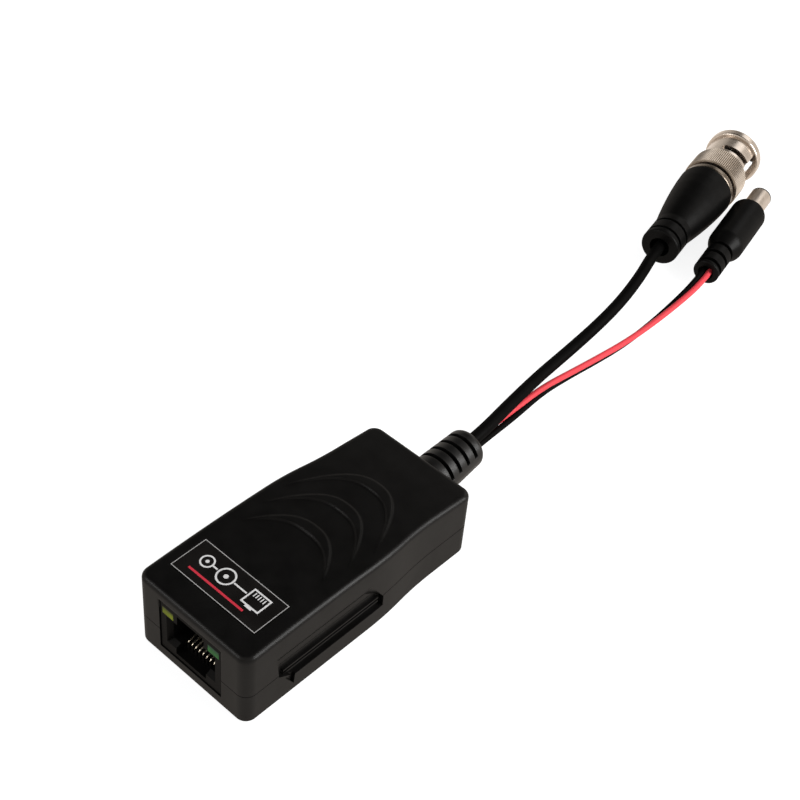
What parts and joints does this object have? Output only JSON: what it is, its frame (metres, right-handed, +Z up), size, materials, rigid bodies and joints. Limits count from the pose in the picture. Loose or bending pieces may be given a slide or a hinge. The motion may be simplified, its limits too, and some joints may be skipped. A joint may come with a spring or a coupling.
{
  "type": "video balun",
  "caption": "Passive video balun: a flat case with a network jack, and pigtail leads to a bayonet coaxial plug and a round power plug.",
  "frame": {"origin": "on the surface the case stands on, under the middle of the case", "axes": "+Y along the case from the network jack (at -Y) to the strain relief and the leads; +Z up, from the flat underside to the arched top with the label; +X to the right when looking along +Y"},
  "size_m": [0.0467, 0.2142, 0.0186],
  "materials": {
    "case_plastic": "satin, fine moulded grain",
    "label_film": "printed film with a silver border",
    "board_laminate": "solder mask",
    "jack_plastic": "moulded",
    "yellow_lens": "frosted, unlit",
    "green_lens": "frosted, unlit",
    "contact_metal": "gold plated",
    "ferrite": "pressed and fired",
    "winding_wire": "enamelled",
    "arrester_ceramic": "glazed",
    "fuse_coating": "dipped resin",
    "chip_ceramic": "fired",
    "tinned_braid": "twisted and tinned",
    "core_insulation": "extruded",
    "red_insulation": "extruded, satin",
    "black_insulation": "extruded, satin",
    "coax_jacket": "extruded, satin",
    "moulded_vinyl": "moulded, satin",
    "plated_metal": "nickel plated",
    "bright_plated_metal": "nickel plated, turned",
    "connector_insulation": "moulded",
    "dark_insulation": "moulded",
    "seal_rubber": "moulded"
  },
  "bodies": {
    "balun": {"top_cover": "case_plastic", "bottom_cover": "case_plastic", "label": "label_film", "circuit_board": "board_laminate", "jack_housing": "jack_plastic", "indicator_yellow": "yellow_lens", "indicator_green": "green_lens", "contact_carrier": "jack_plastic", "jack_contacts": "contact_metal", "transformer_core": "ferrite", "primary_winding": "winding_wire", "secondary_winding": "winding_wire", "surge_arrester": "arrester_ceramic", "resettable_fuse": "fuse_coating", "chip_resistors": "chip_ceramic", "coax_braid_tail": "tinned_braid", "coax_core_end": "core_insulation", "red_wire_end": "red_insulation", "black_wire_end": "black_insulation", "coax_lead": "coax_jacket", "red_wire": "red_insulation", "black_wire": "black_insulation", "strain_relief": "moulded_vinyl", "bnc_boot": "moulded_vinyl", "dc_grip": "moulded_vinyl", "bnc_body": "plated_metal", "bnc_insulator": "connector_insulation", "bnc_centre_pin": "contact_metal", "bnc_spring_washer": "plated_metal", "bnc_sealing_ring": "seal_rubber", "dc_barrel": "bright_plated_metal", "dc_insulator": "dark_insulation", "dc_inner_contact": "bright_plated_metal"},
    "nut": {"bnc_coupling_nut": "plated_metal"}
  },
  "joints": [
    {"name": "coupling_nut_turn", "type": "hinge", "parent": "balun", "child": "nut", "pos_m": [-0.01455, 0.13356, 0.0075], "axis": [-0.213, 0.977, 0], "continuous": true}
  ]
}
